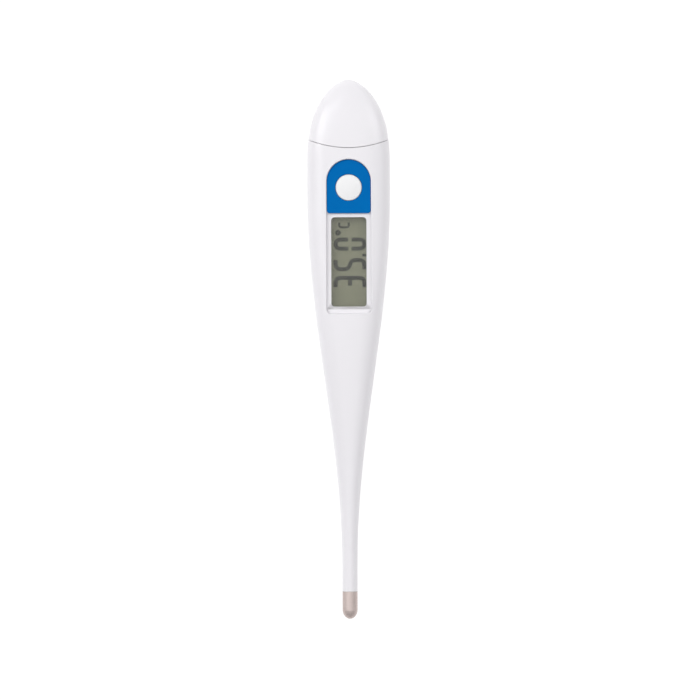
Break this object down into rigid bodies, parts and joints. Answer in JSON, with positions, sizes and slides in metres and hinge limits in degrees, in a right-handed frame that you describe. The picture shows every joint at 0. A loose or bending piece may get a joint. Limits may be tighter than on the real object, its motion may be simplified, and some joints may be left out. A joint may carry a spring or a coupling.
{
  "type": "digital clinical thermometer",
  "caption": "Rigid pocket thermometer: flared housing with a metal probe tip, display window, round key in an arch insert and pull-off battery cap.",
  "frame": {"origin": "under the middle of the bounding box, on the flat back that the thermometer lies on", "axes": "+X across the grip, +Y from the probe tip toward the battery cap, +Z out of the display side"},
  "size_m": [0.019, 0.124, 0.0106],
  "materials": {
    "housing_white": "satin moulded ABS",
    "clear_lens": "polished clear acrylic",
    "bezel_blue": "gloss blue ABS",
    "button_white": "satin moulded ABS",
    "tip_steel": "drawn stainless steel, fine polish",
    "epoxy_dark": "cured epoxy",
    "epoxy_grey": "thermally conductive filler",
    "wire_copper": "enamelled copper",
    "chassis_white": "matte moulded ABS",
    "board_green": "solder mask over glass epoxy",
    "cell_glass": "thin float glass",
    "polarizer": "neutral polarizing film",
    "reflector": "silver-grey reflective film",
    "rubber_dark": "matte conductive rubber",
    "seal_rubber": "soft silicone",
    "chip_ceramic": "sintered ceramic body",
    "resistor_black": "glazed resistor body",
    "switch_black": "matte nylon",
    "spring_steel": "nickel-plated spring strip",
    "battery_steel": "nickel-plated steel can",
    "plate_brass": "rolled brass",
    "ceramic_cream": "silvered piezo ceramic"
  },
  "bodies": {
    "housing": {"body_shell": "housing_white", "display_lens": "clear_lens", "button_bezel": "bezel_blue", "probe_tip": "tip_steel", "thermistor": "epoxy_dark", "tip_potting": "epoxy_grey", "sensor_leads": "wire_copper"},
    "chassis": {"chassis_frame": "chassis_white", "circuit_board": "board_green", "lcd_frame": "chassis_white", "lcd_front_glass": "cell_glass", "lcd_rear_glass": "cell_glass", "lcd_seal": "epoxy_grey", "lcd_front_polarizer": "polarizer", "lcd_rear_polarizer": "reflector", "zebra_strip": "rubber_dark", "chip_blob": "epoxy_dark", "chip_resistors": "resistor_black", "chip_capacitors": "chip_ceramic", "switch_base": "switch_black", "switch_cover": "spring_steel", "switch_dome": "spring_steel", "switch_terminals": "spring_steel", "battery": "battery_steel", "battery_contact_negative": "spring_steel", "battery_contact_positive": "spring_steel", "buzzer_plate": "plate_brass", "buzzer_ceramic": "ceramic_cream", "buzzer_leads": "wire_copper"},
    "button": {"power_button": "button_white"},
    "switch_key": {"switch_plunger": "switch_black"},
    "cap": {"end_cap": "housing_white", "cap_seal": "seal_rubber"}
  },
  "joints": [
    {"name": "button_press", "type": "slide", "parent": "housing", "child": "button", "axis": [0, 0, -1], "range_m": [0, 0.0003], "stiffness_N_per_m": 1200, "springref_m": -0.0006},
    {"name": "chassis_slide", "type": "slide", "parent": "housing", "child": "chassis", "axis": [0, 1, 0], "range_m": [0, 0.01]},
    {"name": "cap_pull", "type": "slide", "parent": "chassis", "child": "cap", "axis": [0, 1, 0], "range_m": [0, 0.02]},
    {"name": "switch_plunge", "type": "slide", "parent": "chassis", "child": "switch_key", "axis": [0, 0, -1], "range_m": [0, 0.0003], "stiffness_N_per_m": 800, "springref_m": -0.0003, "deforming": ["switch_dome"]}
  ],
  "couplings": [
    {"joint": "switch_plunge", "follows": "button_press", "ratio": 1}
  ]
}
